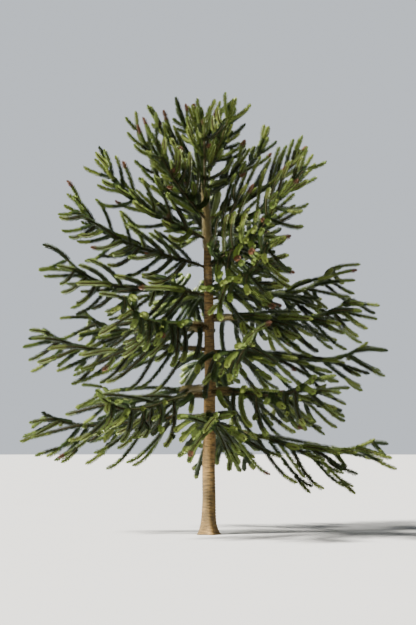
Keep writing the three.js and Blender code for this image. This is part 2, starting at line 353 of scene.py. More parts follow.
class BarkSettings(bpy.types.PropertyGroup):
    """Relief of the bark"""

    ring_step: length_setting(
        "Ring step", "Distance between the rings of points up the trunk", 0.014, 0.004
    )
    wrinkle_depth: length_setting(
        "Wrinkle depth", "Depth of the wrinkles that run round the trunk", 0.006
    )
    wrinkle_height: length_setting(
        "Wrinkle height", "Distance up the trunk from each wrinkle to the next", 0.045, 0.01
    )
    scar_depth: length_setting(
        "Leaf scar depth", "Depth of the lozenge scars that old leaves leave", 0.0016
    )


class ColourSettings(bpy.types.PropertyGroup):
    """Base colours of the tree"""

    # Deep green: partly the older leaves' darker green, partly painted shade inside the crown
    deep: colour_setting(
        "Deep green", "Leaves of the older, darker shoots", (0.018, 0.034, 0.006)
    )
    green: colour_setting("Leaf green", "Leaves of most outer shoots", (0.105, 0.15, 0.03))
    fresh: colour_setting("Fresh green", "Leaves of the newest growth", (0.155, 0.2, 0.044))
    bronze: colour_setting("Bronze", "Leaves of the few bronzed ends", (0.12, 0.055, 0.028))
    old: colour_setting(
        "Old leaves", "Dry leaves that stay on the trunk and the boughs", (0.15, 0.125, 0.05)
    )
    bark: colour_setting("Bark", "Bark on the trunk", (0.46, 0.275, 0.085))
    # The furrow colour is partly darker bark, partly painted shade in the furrows
    bark_dark: colour_setting(
        "Bark furrows", "Darker wrinkles and stains of the bark", (0.055, 0.038, 0.017)
    )
    twig: colour_setting("Shoot wood", "Green wood under the leaves", (0.05, 0.058, 0.017))


class StageSettings(bpy.types.PropertyGroup):
    """Camera, floor and light"""

    distance: length_setting("Camera distance", "Distance from the camera to the trunk", 27.4)
    eye_height: length_setting("Eye height", "Height of the camera above the ground", 1.6)
    aim_height: length_setting("Aim height", "Height that the camera looks at", 3.42)
    lens: FloatProperty(
        name="Lens", description="Focal length of the camera", default=102, unit="CAMERA"
    )
    sun: FloatProperty(
        name="Key light",
        description="Strength of the wide key light from the front left",
        default=19.5,
    )
    fill: FloatProperty(
        name="Fill light", description="Strength of the light from all round", default=0.18
    )
    backdrop: FloatProperty(
        name="Backdrop", description="Brightness of the plain background", default=0.8
    )
    floor: colour_setting("Floor", "Colour of the floor", (0.6, 0.6, 0.585))


# The growth rule

# Room that a new shoot keeps free, the shortest that grows, and its wood, by rank
RANKS = {
    "side": (SHOOT_ROOM, SHORTEST_SHOOT, SHOOT_WOOD),
    "infill": (FINE_ROOM, SHORTEST_BRANCHLET, FINE_WOOD),
    "branchlet": (FINE_ROOM, SHORTEST_BRANCHLET, FINE_WOOD),
}


class Chance:
    """A repeatable stream of numbers from -1 to 1, the solids' own."""

    def __init__(self, seed):
        self.state = (seed * SEED_STRIDE + SEED_START) % STREAM_WORD
        self()
        self()

    def __call__(self):
        self.state = (self.state * STREAM_FACTOR + STREAM_STEP) % STREAM_WORD
        return self.state / (STREAM_WORD / 2) - 1


class Line:
    """A Bezier line that is walked by its length, as a share from 0 to 1."""

    def __init__(self, *corners):
        self.corners = np.array(corners)
        self.steps = np.linspace(0, 1, LENGTH_STEPS + 1)
        strides = np.linalg.norm(np.diff(self.place(self.steps), axis=0), axis=1)
        self.lengths = np.concatenate([[0], np.cumsum(strides)])
        self.length = self.lengths[-1]

    def place(self, step):
        step = np.asarray(step)[..., None]
        back = 1 - step
        a, b, c, d = self.corners
        return a * back**3 + 3 * b * step * back**2 + 3 * c * step**2 * back + d * step**3

    def at(self, share):
        walked = np.asarray(share) * self.length
        return self.place(np.interp(walked, self.lengths, self.steps))

    def ahead(self, share):
        """The unit direction of the line at a share of its length."""
        low = self.at(max(0, share - AHEAD_STEP))
        high = self.at(min(1, share + AHEAD_STEP))
        return (high - low) / np.linalg.norm(high - low)


class Limb:
    """One limb: its line from the trunk's middle to its tip, where its leaves start, its
    side shoots so far and the room that these keep free."""

    def __init__(self, whorl, azimuth, climb, line, chance):
        self.whorl = whorl
        self.azimuth = azimuth
        self.climb = climb
        self.posture = smooth_step(climb, HANGING_CLIMB, RISING_CLIMB)
        self.line = line
        self.chance = chance
        self.start = BOUGH_SHARE if whorl <= BOUGH_WHORLS else 0
        leafy = line.length * (1 - self.start)
        self.tiers = max(FEWEST_PAIRS + 1, round_half_up(leafy / SHOOT_GAP))
        self.path = walk(line, 0, 1)
        self.shoots = []
        self.siblings = Crowd()

    def add_shoot(self, line, rank, others, chance):
        """Adds a side shoot as far as it has room, or none where that would be too short."""
        room, shortest, wood = RANKS[rank]
        free = free_share(line, room, others, self.siblings, chance)
        if free * line.length >= shortest:
            self.shoots.append(Shoot(line, 0, free, self.whorl, wood, rank))
            self.siblings.add(walk(line, 0, free), SHOOT_ROOM)


class Shoot:
    """A leafy shoot: its line, how much of it grows, its whorl, and its wood's radii."""

    def __init__(self, line, start, end, whorl, wood, rank):
        self.line = line
        self.start = start
        self.end = end - BUD_REACH / line.length
        self.whorl = whorl
        self.wood = wood
        self.rank = rank
        self.length = line.length * (self.end - start)


class Crowd:
    """Points of the growth so far, with the room that each keeps free round it."""

    def __init__(self):
        self.points = np.empty((0, 3))
        self.rooms = np.empty(0)

    def add(self, points, room):
        self.points = np.concatenate([self.points, points])
        self.rooms = np.concatenate([self.rooms, np.broadcast_to(room, len(points))])

    def clear(self, path, room):
        """Says of each point of a path whether it stays clear of the crowd."""
        reach = room + CLEARANCE
        margin = reach + self.rooms
        low, high = path.min(axis=0), path.max(axis=0)
        near = np.all(self.points > low - margin[:, None], axis=1)
        near &= np.all(self.points < high + margin[:, None], axis=1)
        apart = np.linalg.norm(path[:, None] - self.points[near][None], axis=2)
        return np.all(apart > margin[near][None], axis=1)


def round_half_up(value):
    return math.floor(value + 0.5)


def smooth_step(value, low, high):
    share = min(1, max(0, (value - low) / (high - low)))
    return share * share * (3 - 2 * share)


def mix(low, high, share):
    return low + (high - low) * share


def through(values, share):
    """A value that goes from the first number, through the middle one, to the last."""
    low, middle, high = values
    return mix(low, middle, share * 2) if share < 0.5 else mix(middle, high, share * 2 - 1)


def heading(azimuth, elevation):
    """The unit vector of a compass direction and an elevation, both in degrees."""
    a, e = math.radians(azimuth), math.radians(elevation)
    return np.array([math.cos(a) * math.cos(e), math.sin(a) * math.cos(e), math.sin(e)])


def trunk_centre(height):
    up = np.asarray(height) / TRUNK_TOP
    side = BOW * np.sin(np.pi * up) - LEAN * up**2
    return np.stack([side, np.zeros_like(side), np.asarray(height, float)], axis=-1)


def whorl_height(whorl):
    return LOWEST_WHORL + FIRST_WHORL_GAP * whorl - WHORL_GAP_SHRINK * whorl * (whorl - 1) / 2


WHORL_HEIGHTS = [whorl_height(whorl) for whorl in range(WHORL_COUNT)]


def trunk_radius(height, angle):
    up = np.clip(height / TRUNK_TOP, 0, 1)
    stem = mix(TRUNK_FOOT_RADIUS, TRUNK_TOP_RADIUS, up**TRUNK_TAPER_POWER)
    offsets = ((height - whorl) / COLLAR_HALF_HEIGHT for whorl in WHORL_HEIGHTS)
    collar = sum(np.exp(-(offset**2)) for offset in offsets)
    lobes = 1 + FLARE_LOBE_DEPTH * np.cos(FLARE_LOBES * angle)
    flare = FLARE_RADIUS * lobes * np.exp(-height / FLARE_HEIGHT)
    return stem * (1 + COLLAR_SWELL * collar) + flare


def limb_reach(height):
    dome = max(0, (height - WIDEST_HEIGHT) / (DOME_HEIGHT - WIDEST_HEIGHT))
    return mix(LIMB_REACH, LEAST_REACH, dome**DOME_POWER)


def limb_rise(height, climb, extra):
    share = min(1, climb / FULL_RISE_CLIMB) ** RISE_POWER
    return min(mix(*TIP_RISE, share) + extra, TOP_TIP_HEIGHT - height)


def make_limb(whorl, place, turn, count):
    """One limb of a whorl, aimed and bent as the solids' limb is."""
    climb = (WHORL_HEIGHTS[whorl] - LOWEST_WHORL) / (WHORL_HEIGHTS[-1] - LOWEST_WHORL)
    chance = Chance(whorl * SEEDS_PER_WHORL + place + 1)
    azimuth = turn + 360 * place / count + TURN_JITTER * chance()
    height = WHORL_HEIGHTS[whorl] + HEIGHT_JITTER * (1 - climb) * chance()
    rise = limb_rise(height, climb, RISE_JITTER * (1 - climb) * chance())
    reach = limb_reach(height) * (1 - REACH_JITTER * (1 + chance()) / 2)
    start = trunk_centre(height)
    tip = start + heading(azimuth, 0) * reach + UP * rise
    handle = np.linalg.norm(tip - start) * HANDLE_SHARE
    bend = SIDE_BEND * chance()
    leaving = heading(azimuth + bend, mix(*BASE_ELEVATION, climb**2))
    arriving = heading(azimuth - bend, mix(*TIP_ELEVATION, climb))
    line = Line(start, start + leaving * handle, tip - arriving * handle, tip)
    return Limb(whorl + 1, azimuth, climb, line, chance)


def make_limbs():
    """Every limb, whorl by whorl from the lowest."""
    limbs = []
    for whorl in range(WHORL_COUNT):
        if whorl < LOW_WHORLS:
            count, turn = LOW_LIMBS, LOW_START + LOW_TURN * whorl
        else:
            count, turn = HIGH_LIMBS, HIGH_START + HIGH_TURN * (whorl - LOW_WHORLS)
        limbs += [make_limb(whorl, place, turn, count) for place in range(count)]
    return limbs


def walk(line, start, end):
    """Points along a stretch of a line, a sample step apart."""
    steps = max(2, math.ceil(line.length * (end - start) / SAMPLE_STEP))
    return line.at(np.linspace(start, end, steps + 1))


def free_share(line, room, others, siblings, chance):
    """The share of a new shoot that stays clear of everything already placed."""
    path = walk(line, 0, 1)
    ceiling = TOP_TIP_HEIGHT - TOP_UNEVENNESS * abs(chance())
    rooted = np.arange(len(path)) * SAMPLE_STEP < ROOTED_LENGTH
    clear = others.clear(path, room) & (rooted | siblings.clear(path, room))
    clear &= (path[:, 2] < ceiling) & in_box(path)
    if room < SHOOT_ROOM:
        clear &= np.linalg.norm(path[:, :2], axis=1) < LIMB_REACH + FINE_MARGIN
    return 1 if clear.all() else max(0, np.argmin(clear) - 1) / (len(path) - 1)


def in_box(path):
    """Says of each point of a path whether it lies in the solids' box, or just outside."""
    low, high = np.array(CAD_BOX)
    return np.all((path > low - BOX_MARGIN) & (path < high + BOX_MARGIN), axis=1)


def side_line(limb, share, hand, swing, length, chance):
    """The line of one side shoot: out sideways, along with the limb, then up at its tip."""
    spread = through(SHOOT_SPREAD_START, limb.posture) + SHOOT_JITTER * chance()
    turned = swing * through(SHOOT_PITCH_SWING, limb.posture) + SHOOT_JITTER * chance()
    pitch = turned + OUTER_LIFT * (share - LEVEL_SHARE)
    near, middle, far = (part * length for part in SHOOT_PARTS)

    def sweep(part):
        return limb.azimuth + hand * mix(spread, SHOOT_SPREAD_END, part)

    leaving = through(SHOOT_START_ELEVATION, limb.posture) + pitch
    going = through(SHOOT_MID_ELEVATION, limb.posture) + pitch
    ending = through(SHOOT_END_ELEVATION, limb.posture)
    root = limb.line.at(share)
    first = root + heading(sweep(0), leaving) * near
    second = first + heading(sweep(MIDDLE_SWEEP), going) * middle
    return Line(root, first, second, second + heading(sweep(1), ending) * far)


def add_side_shoots(limb, others, chance):
    """Adds the solids' own side shoots to a limb, in pairs."""
    for pair in range(1, limb.tiers):
        share = mix(limb.start, 1, pair / limb.tiers)
        if share < FIRST_SHOOT:
            continue
        for hand in (1, -1):
            swing = (-1 if pair % 2 else 1) * hand
            wanted = through(SHOOT_LENGTH, limb.climb) * (1 - SHOOT_SHORTENING * share)
            line = side_line(limb, share, hand, swing, wanted, chance)
            limb.add_shoot(line, "side", others, chance)


def add_infill(limb, others, chance):
    """Adds finer side shoots between the pairs of a limb's own."""
    count = round_half_up(limb.tiers * through(INFILL_DENSITY, limb.climb))
    for gap in range(count):
        for hand in (1, -1):
            share = mix(INFILL_FROM, 1, (gap + 0.5 + INFILL_SHIFT * chance()) / count)
            lifted = (gap % 2 == 1) == (hand == 1)
            swing = through(INFILL_LIFT if lifted else INFILL_DROP, limb.posture)
            swing *= 1 + SWING_UNEVENNESS * chance()
            wanted = through(SHOOT_LENGTH, limb.climb) * INFILL_LENGTH
            wanted *= 1 + INFILL_UNEVENNESS * chance()
            wanted *= 1 - SHOOT_SHORTENING * share
            line = side_line(limb, share, hand, swing, wanted, chance)
            limb.add_shoot(line, "infill", others, chance)


def branchlet_line(parent, share, hand, limb, chance):
    """The line of a branchlet: off its parent at an angle, then along with it and up."""
    ahead = parent.line.ahead(share)
    across = np.cross(ahead, UP)
    across /= np.linalg.norm(across)
    over = np.cross(across, ahead)
    roll = math.radians(BRANCHLET_ROLL) * chance()
    spread = math.radians(BRANCHLET_SPREAD + SHOOT_JITTER * chance())
    outward = hand * (across * math.cos(roll) + over * math.sin(roll))
    length = BRANCHLET_LENGTH * (1 + BRANCHLET_UNEVENNESS * chance())
    near, middle, far = (part * length for part in SHOOT_PARTS)
    leaving = ahead * math.cos(spread) + outward * math.sin(spread)
    going = ahead * math.cos(spread / 2) + outward * math.sin(spread / 2)
    ending = heading(limb.azimuth, through(SHOOT_END_ELEVATION, limb.posture)) + going
    root = parent.line.at(share)
    first = root + leaving * near
    second = first + going * middle
    return Line(root, first, second, second + ending / np.linalg.norm(ending) * far)


def add_branchlets(limb, others, chance):
    """Adds short side shoots to a limb's longer ones."""
    sides = [shoot for shoot in limb.shoots if shoot.rank == "side"]
    for parent in [shoot for shoot in sides if shoot.length >= PARENT_LENGTH]:
        first_hand = 1 if chance() > 0 else -1
        for number, place in enumerate(BRANCHLET_SHARES):
            share = parent.end * (place + BRANCHLET_SHIFT * chance())
            line = branchlet_line(parent, share, first_hand * (-1) ** number, limb, chance)
            limb.add_shoot(line, "branchlet", others, chance)


def trunk_crowd():
    """The room that the trunk and its leader take."""
    heights = np.arange(0, LEADER_HEIGHT, SAMPLE_STEP)
    rooms = np.where(heights < TRUNK_TOP, trunk_radius(heights, 0), LEADER_ROOM)
    return trunk_centre(heights), rooms


def crowd_round(limb, limbs):
    """Everything grown so far but the limb's own growth."""
    crowd = Crowd()
    crowd.add(*trunk_crowd())
    for other in limbs:
        if other is not limb:
            crowd.add(other.path, SHOOT_ROOM)
            crowd.add(other.siblings.points, other.siblings.rooms)
    return crowd


@lru_cache(maxsize=None)
def grow():
    """The whole crown: its limbs and all their leafy shoots."""
    limbs = make_limbs()
    for limb in limbs:
        add_side_shoots(limb, crowd_round(limb, limbs), limb.chance)
    for add_more, seed in ((add_infill, INFILL_SEED), (add_branchlets, BRANCHLET_SEED)):
        for number, limb in enumerate(limbs):
            chance = Chance(seed + limb.whorl * SEEDS_PER_WHORL + number)
            add_more(limb, crowd_round(limb, limbs), chance)
    for limb in limbs:
        limb.shoots.insert(0, Shoot(limb.line, limb.start, 1, limb.whorl, LIMB_WOOD, "stem"))
    return limbs, [shoot for limb in limbs for shoot in limb.shoots]


def leader_shoot():
    """The upright leading shoot on the trunk's tip."""
    foot = trunk_centre(TRUNK_TOP - LEADER_SUNK)
    tip = trunk_centre(TRUNK_TOP) * (1, 1, 0) + UP * (LEADER_HEIGHT - LEADER_SHORT)
    line = Line(foot, mix(foot, tip, 1 / 3), mix(foot, tip, 2 / 3), tip)
    return Shoot(line, 0, 1, WHORL_COUNT, LEADER_WOOD, "leader")


# Lines that the pieces are grown on

def wood_along(shoot, walked):
    """The radius of a shoot's wood, which narrows to its tip and closes to a bud."""
    settings = bpy.context.scene.puzzle_leaves
    wood = mix(*shoot.wood, walked / shoot.length)
    bud = np.clip((shoot.length - walked) / settings.bud_length, 0, 1)
    return wood * mix(BUD_WOOD_SHARE, 1, bud)


def stretch(shoot, low, high):
    """Points and wood radii along a shoot, between two lengths from its root."""
    settings = bpy.context.scene.puzzle_leaves
    bud = shoot.length - settings.bud_length * np.array(BUD_STOPS)
    even = np.linspace(low, high, max(2, math.ceil((high - low) / LINE_STEP) + 1))
    walked = np.unique(np.concatenate([even, bud[(bud > low) & (bud < high)]]))
    shares = shoot.start + (shoot.end - shoot.start) * walked / shoot.length
    return shoot.line.at(shares), wood_along(shoot, walked)


def clear_of_trunk(shoot):
    """The length from a shoot's root at which it leaves the trunk."""
    points, _ = stretch(shoot, 0, shoot.length)
    apart = np.linalg.norm((points - trunk_centre(points[:, 2]))[:, :2], axis=1)
    outside = apart > trunk_radius(points[:, 2], 0) + TRUNK_MARGIN
    return shoot.length * np.argmax(outside) / (len(points) - 1)


def dealt_out():
    """Stretches of leafy shoot for each tint and band: every shoot keeps its older part
    in one green, and its newest growth takes its own tint."""
    deal = {(tint, band): [] for tint in TINTS for band in BANDS}
    _, shoots = grow()
    for number, shoot in enumerate([*shoots, leader_shoot()]):
        chance = Chance(TINT_SEED + number)
        band = next(name for name, (_, high) in BANDS.items() if shoot.whorl <= high)
        root = clear_of_trunk(shoot) if shoot.rank == "stem" else LEAFLESS_ROOT
        old_tint, new_tint = spray_tints(shoot, chance)
        growth = BRONZE_GROWTH if new_tint == "bronze" else NEW_GROWTH
        growth *= 1 + GROWTH_UNEVENNESS * chance()
        growth = min(growth, shoot.length * MOST_GROWTH)
        split = max(root, shoot.length - growth)
        if split - root > LINE_STEP:
            deal[old_tint, band].append(stretch(shoot, root, split))
            root = split
        deal[new_tint, band].append(stretch(shoot, root, shoot.length))
    return deal


def spray_tints(shoot, chance):
    """The tints of a shoot's older part and of its newest growth."""
    luck = (chance() + 1) / 2
    if shoot.rank == "leader":
        return "fresh", "fresh"
    limits = SPRAY_LUCK if shoot.whorl < HIGH_SPRAYS_FROM else HIGH_SPRAY_LUCK
    return next(pair for limit, pair in zip(limits, TINT_PAIRS) if luck <= limit)


# Trees of nodes

def socket(sockets, key):
    return next(item for item in sockets if item.identifier == key)


def node(tree, kind, feeds=None, **settings):
    """Adds a node, sets it, and feeds its inputs from other sockets or plain values."""
    made = tree.nodes.new(kind)
    for name, value in settings.items():
        setattr(made, name, value)
    for key, value in (feeds or {}).items():
        entry = socket(made.inputs, key)
        if isinstance(value, bpy.types.NodeSocket):
            tree.links.new(value, entry)
        else:
            entry.default_value = value
    return made


def new_tree(name, inputs):
    """An empty tree of geometry nodes with its named inputs, and its two ends."""
    tree = bpy.data.node_groups.new(name, "GeometryNodeTree")
    tree.interface.new_socket("Geometry", in_out="INPUT", socket_type="NodeSocketGeometry")
    for label, kind in inputs.items():
        tree.interface.new_socket(label, in_out="INPUT", socket_type=f"NodeSocket{kind}")
    tree.interface.new_socket("Geometry", in_out="OUTPUT", socket_type="NodeSocketGeometry")
    start = tree.nodes.new("NodeGroupInput")
    return tree, {item.name: item for item in start.outputs if item.name}


def end_tree(tree, geometry, material):
    """Ends a tree in Realize Instances and Set Material."""
    real = node(tree, "GeometryNodeRealizeInstances", {"Geometry": geometry})
    feeds = {"Geometry": real.outputs[0], "Material": material}
    dressed = node(tree, "GeometryNodeSetMaterial", feeds)
    end = tree.nodes.new("NodeGroupOutput")
    tree.links.new(dressed.outputs[0], end.inputs[0])
    return tree


@lru_cache(maxsize=None)
def leafy_tree():
    """Leaves set in a spiral along lines whose radius is the wood's."""
    tree, given = new_tree(
        "leafy_shoots",
        {
            "Leaf": "Object",
            "Spacing": "Float",
            "Spiral Turn": "Float",
            "Bud Wood": "Float",
            "Open Wood": "Float",
            "Bud Size": "Float",
            "Closed Lean": "Float",
            "Open Lean": "Float",
            "Size Chance": "Float",
            "Lean Chance": "Float",
            "Seed": "Int",
            "Material": "Material",
        },
    )
    feeds = {"Curve": given["Geometry"], "Length": given["Spacing"]}
    points = node(tree, "GeometryNodeCurveToPoints", feeds, mode="LENGTH")
    wood = tree.nodes.new("GeometryNodeInputRadius").outputs[0]
    spot = tree.nodes.new("GeometryNodeInputIndex").outputs[0]

    def by_wood(closed, opened):
        span = {"From Min": given["Bud Wood"], "From Max": given["Open Wood"]}
        span |= {"Value": wood, "To Min": closed, "To Max": opened}
        return node(tree, "ShaderNodeMapRange", span).outputs["Result"]

    def maths(operation, first, second):
        feeds = {"Value": first, "Value_001": second}
        return node(tree, "ShaderNodeMath", feeds, operation=operation).outputs[0]

    def chance(spread, extra):
        feeds = {"Min_001": maths("MULTIPLY", spread, -1), "Max_001": spread}
        feeds["Seed"] = maths("ADD", given["Seed"], extra)
        made = node(tree, "FunctionNodeRandomValue", feeds, data_type="FLOAT")
        return socket(made.outputs, "Value_001")

    def turned(start, axis, angle):
        turn = node(tree, "FunctionNodeAxisAngleToRotation", {"Axis": axis, "Angle": angle})
        feeds = {"Rotation": start, "Rotate By": turn.outputs[0]}
        return node(tree, "FunctionNodeRotateRotation", feeds, rotation_space="LOCAL").outputs[0]

    size = maths("ADD", chance(given["Size Chance"], 1), 1)
    size = maths("MULTIPLY", by_wood(given["Bud Size"], 1), size)
    lean = by_wood(given["Closed Lean"], given["Open Lean"])
    lean = maths("ADD", lean, chance(given["Lean Chance"], 2))
    feeds = {"Vector": points.outputs["Tangent"]}
    along = node(tree, "FunctionNodeAlignRotationToVector", feeds, axis="Z")
    spin = maths("MULTIPLY", spot, given["Spiral Turn"])
    spiral = turned(along.outputs[0], (0, 0, 1), spin)
    outward = node(tree, "FunctionNodeRotateVector", {"Vector": (1, 0, 0), "Rotation": spiral})
    feeds = {"Vector": outward.outputs[0], "Scale": wood}
    rim = node(tree, "ShaderNodeVectorMath", feeds, operation="SCALE")
    feeds = {"Geometry": points.outputs["Points"], "Offset": rim.outputs[0]}
    placed = node(tree, "GeometryNodeSetPosition", feeds)
    leaf = node(tree, "GeometryNodeObjectInfo", {"Object": given["Leaf"]})
    feeds = {
        "Points": placed.outputs[0],
        "Instance": leaf.outputs["Geometry"],
        "Rotation": turned(spiral, (0, 1, 0), lean),
        "Scale": size,
    }
    leaves = node(tree, "GeometryNodeInstanceOnPoints", feeds)
    return end_tree(tree, leaves.outputs[0], given["Material"])


@lru_cache(maxsize=None)
def wood_tree():
    """Closed tubes of wood along lines whose radius is the wood's."""
    tree, given = new_tree("shoot_wood", {"Sides": "Int", "Material": "Material"})
    feeds = {"Resolution": given["Sides"], "Radius": 1}
    ring = node(tree, "GeometryNodeCurvePrimitiveCircle", feeds)
    wood = tree.nodes.new("GeometryNodeInputRadius")
    feeds = {
        "Curve": given["Geometry"],
        "Profile Curve": ring.outputs[0],
        "Scale": wood.outputs[0],
        "Fill Caps": True,
    }
    tubes = node(tree, "GeometryNodeCurveToMesh", feeds)
    return end_tree(tree, tubes.outputs[0], given["Material"])


def new_object(name, data):
    made = bpy.data.objects.new(name, data)
    bpy.context.scene.collection.objects.link(made)
    return made


def grown_piece(name, stretches, tree, inputs):
    """The plain mesh that a tree of nodes grows on stretches of shoot."""
    lines = bpy.data.curves.new(f"{name}_lines", "CURVE")
    lines.dimensions = "3D"
    for points, wood in stretches:
        spline = lines.splines.new("POLY")
        spline.points.add(len(points) - 1)
        spline.points.foreach_set("co", np.insert(points, 3, 1, axis=1).ravel())
        spline.points.foreach_set("radius", wood)
    carrier = new_object(f"{name}_lines", lines)
    modifier = carrier.modifiers.new(name, "NODES")
    modifier.node_group = tree
    for item in tree.interface.items_tree:
        if item.name in inputs:
            modifier[item.identifier] = inputs[item.name]
    graph = bpy.context.evaluated_depsgraph_get()
    mesh = bpy.data.meshes.new_from_object(carrier.evaluated_get(graph))
    carrier.modifiers.remove(modifier)
    bpy.data.objects.remove(carrier)
    bpy.data.curves.remove(lines)
    if not mesh.polygons:
        raise RuntimeError(f"{name} grew no faces")
    mesh.name = name
    return new_object(name, mesh)


def leaf_object(stretching=1):
    """One leaf along +Z, with its keel outwards: a kite with a sharp tip, four faces."""
    settings = bpy.context.scene.puzzle_leaves
    length, half = settings.length * stretching, settings.width / 2
    depth = settings.thickness
    wide = length * LEAF_WIDEST
    corners = [
        (depth / 2, 0, -length * LEAF_SUNK),
        (-depth / 2, half, wide),
        (-depth / 2, -half, wide),
        (0, 0, length * (1 - LEAF_SUNK)),
    ]
    faces = [(0, 2, 1), (1, 2, 3), (0, 1, 3), (0, 3, 2)]
    mesh = bpy.data.meshes.new("leaf")
    mesh.from_pydata(corners, [], faces)
    return new_object("leaf", mesh)


# Bark

def ring_mesh(name, rings):
    """A closed mesh from rings of equal count, with a cap of fanned faces at each end."""
    count, sides = rings.shape[:2]
    ends = rings[[0, -1]].mean(axis=1)
    corners = np.concatenate([rings.reshape(-1, 3), ends])
    faces = []
    for ring in range(count - 1):
        base = ring * sides
        for side in range(sides):
            after = (side + 1) % sides
            faces.append((base + side, base + after, base + sides + after, base + sides + side))
    first, last, top = count * sides, count * sides + 1, (count - 1) * sides
    for side in range(sides):
        after = (side + 1) % sides
        faces.append((after, side, first))
        faces.append((top + side, top + after, last))
    mesh = bpy.data.meshes.new(name)
    mesh.from_pydata(corners.tolist(), [], faces)
    mesh.shade_smooth()
    return new_object(name, mesh)


def bark_relief(height, angle, girth):
    """How far the bark stands out: wrinkles that run round, broken into short runs, a slow
    swell, and the lozenge scars of old leaves on two crossing spirals."""
    settings = bpy.context.scene.puzzle_bark

    def waves(kinds):
        return [np.sin(turns * angle + climb * height) for turns, climb in kinds]

    level = 2 * np.pi * height / settings.wrinkle_height
    drift = sum(size * bend for size, bend in zip(DRIFT_SIZES, waves(DRIFT_WAVES)))
    steep, slow = waves(RUN_WAVES)
    runs = 1 - RUN_DEPTH + RUN_DEPTH * steep * slow
    up, back, turns = FINE_WRINKLES
    fine = np.sin(up * level - back * drift + turns * angle)
    wrinkles = runs * (np.sin(level + drift) + FINE_SIZE * fine)
    rising, falling = SCAR_SPIRALS
    scars = np.cos(rising * angle + SCAR_RISE * level)
    scars = scars * np.cos(falling * angle - SCAR_RISE * level)
    slow, steep = waves(SWELL_WAVES)
    swell = SWELL_SIZE * slow * steep
    return (settings.wrinkle_depth * (wrinkles + swell) + settings.scar_depth * scars) * girth


def trunk_rings():
    settings = bpy.context.scene.puzzle_bark
    heights = np.linspace(0, TRUNK_TOP, math.ceil(TRUNK_TOP / settings.ring_step) + 1)[:, None]
    angles = np.linspace(0, 2 * np.pi, TRUNK_RING_SIDES, endpoint=False)[None]
    radii = trunk_radius(heights, angles)
    radii += bark_relief(heights, angles, np.sqrt(radii / TRUNK_FOOT_RADIUS))
    centres = trunk_centre(heights)
    outward = np.stack(
        np.broadcast_arrays(np.cos(angles), np.sin(angles), np.zeros_like(heights)), axis=-1
    )
    return centres + outward * radii[..., None]


def bough_rings(limb, seed):
    """Rings round a bough's line, from inside the trunk to a little way into its leaves."""
    end = limb.start + BOUGH_OVERLAP / limb.line.length
    length = limb.line.length * end
    shares = np.linspace(0, 1, math.ceil(length / BOUGH_RING_STEP) + 1)
    angles = np.linspace(0, 2 * np.pi, BOUGH_RING_SIDES, endpoint=False)
    rings = []
    for share in shares:
        ahead = limb.line.ahead(share * end)
        across = np.cross(UP, ahead)
        across /= np.linalg.norm(across)
        over = np.cross(ahead, across)
        radius = mix(*BOUGH_RADII, share) * BOUGH_BARK_SHARE
        radius = radius + bark_relief(share * length + seed, angles, BOUGH_RELIEF)
        ring = across * np.cos(angles)[:, None] + over * np.sin(angles)[:, None]
        rings.append(limb.line.at(share * end) + ring * radius[:, None])
    return np.array(rings)


def joined(name, pieces):
    """Joins like pieces into one."""
    with bpy.context.temp_override(active_object=pieces[0], selected_editable_objects=pieces):
        bpy.ops.object.join()
    pieces[0].name = name
    pieces[0].data.name = name
    return pieces[0]


# Materials

def new_material(name):
    """A material's tree, its shader and the object's own coordinates."""
    material = bpy.data.materials.new(name)
    material.use_nodes = True
    tree = material.node_tree
    shader = next(item for item in tree.nodes if item.type == "BSDF_PRINCIPLED")
    place = tree.nodes.new("ShaderNodeTexCoord").outputs["Object"]
    return material, tree, shader, place


def noise(tree, place, scale, detail, stretched=(1, 1, 1)):
    """Noise on the object's coordinates, which may be stretched along an axis."""
    mapping = node(tree, "ShaderNodeMapping", {"Vector": place, "Scale": stretched})
    feeds = {"Vector": mapping.outputs[0], "Scale": scale, "Detail": detail}
    return node(tree, "ShaderNodeTexNoise", feeds).outputs[0]


def between(tree, share, low, high):
    """A number between two, as noise goes through its usual range."""
    least, most = NOISE_RANGE
    feeds = {"Value": share, "From Min": least, "From Max": most, "To Min": low, "To Max": high}
    return node(tree, "ShaderNodeMapRange", feeds).outputs["Result"]


def blend(tree, share, low, high):
    """A colour between two, as noise goes through its usual range."""
    feeds = {"Factor_Float": between(tree, share, 0, 1)}
    for key, colour in (("A_Color", low), ("B_Color", high)):
        fed = isinstance(colour, bpy.types.NodeSocket)
        feeds[key] = colour if fed else (*colour, 1)
    made = node(tree, "ShaderNodeMix", feeds, data_type="RGBA")
    return socket(made.outputs, "Result_Color")


def bumped(tree, shader, height, distance, strength):
    feeds = {"Height": height, "Distance": distance, "Strength": strength}
    bump = node(tree, "ShaderNodeBump", feeds)
    tree.links.new(bump.outputs[0], shader.inputs["Normal"])


def leaf_material(name, colour):
    """A stiff leaf's skin: waxy, a little uneven from spray to spray and along each leaf."""
    material, tree, shader, place = new_material(name)
    shader.inputs["Specular IOR Level"].default_value = LEAF_GLOSS
    darker, lighter = np.clip(np.array(colour) * LEAF_SHADES, 0, 1)
    flecks = noise(tree, place, *LEAF_FLECKS)
    base = blend(tree, noise(tree, place, *LEAF_SPRAYS), darker, lighter)
    tree.links.new(blend(tree, flecks, base, colour), shader.inputs["Base Color"])
    tree.links.new(between(tree, flecks, *LEAF_ROUGHNESS), shader.inputs["Roughness"])
    bumped(tree, shader, noise(tree, place, *LEAF_GRAIN), *LEAF_BUMP)
    return material


